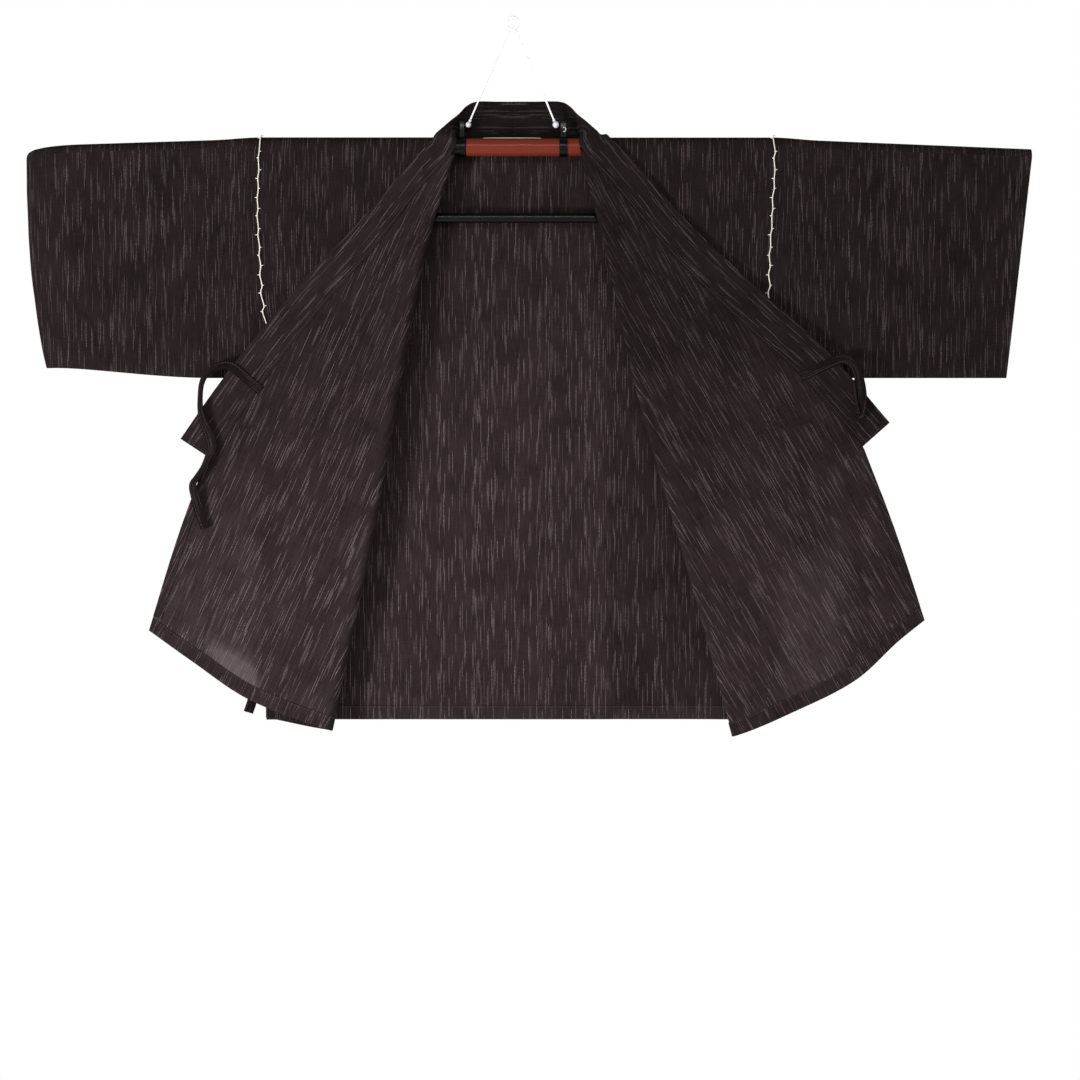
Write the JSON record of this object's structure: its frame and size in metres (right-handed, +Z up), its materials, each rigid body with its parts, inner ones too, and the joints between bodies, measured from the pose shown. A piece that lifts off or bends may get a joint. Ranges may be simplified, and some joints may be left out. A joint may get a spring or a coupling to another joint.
{
  "type": "jinbei jacket on a kimono hanger",
  "caption": "Wide-sleeved wrap jacket hung flat on a kimono hanger, with both fronts and the collar turned back over the shoulders.",
  "frame": {"origin": "inner top of the hanger's ring, where a hook or a rail holds it", "axes": "+X to the viewer's right along the sleeves, +Y away from the viewer through the back, +Z up; left and right are the viewer's"},
  "size_m": [1.2416, 0.0767, 0.8856],
  "materials": {
    "cloth": "plain-woven slubbed cotton, dark brown, broken light streaks along the warp",
    "lace": "twisted cream cotton cord",
    "label": "smooth woven tape, blank",
    "tube_red": "satin red-brown",
    "hanger_black": "matte black",
    "bead": "glossy white",
    "wire": "white coated wire"
  },
  "bodies": {
    "root": {"back": "cloth", "hem_back": "cloth", "front_left": "cloth", "hem_front_left": "cloth", "edge_front_left": "cloth", "collar_left": "cloth", "sleeve_left": "cloth", "front_right": "cloth", "hem_front_right": "cloth", "edge_front_right": "cloth", "collar_right": "cloth", "sleeve_right": "cloth", "pocket": "cloth", "tie_collar_left": "cloth", "tie_collar_right": "cloth", "tie_side_left": "cloth", "tie_side_right": "cloth", "lacing_left": "lace", "lacing_right": "lace", "neck_label": "label", "hanger_tube": "tube_red", "hanger_cap": "hanger_black", "arm_inner_left": "hanger_black", "arm_inner_right": "hanger_black", "arm_outer_left": "hanger_black", "arm_outer_right": "hanger_black", "clip_left": "hanger_black", "clip_right": "hanger_black", "lower_bar": "hanger_black", "bar_link_left": "hanger_black", "bar_link_right": "hanger_black", "bead_left": "bead", "bead_right": "bead", "bail_wire_left": "wire", "bail_wire_right": "wire", "hang_ring": "wire"}
  },
  "joints": []
}
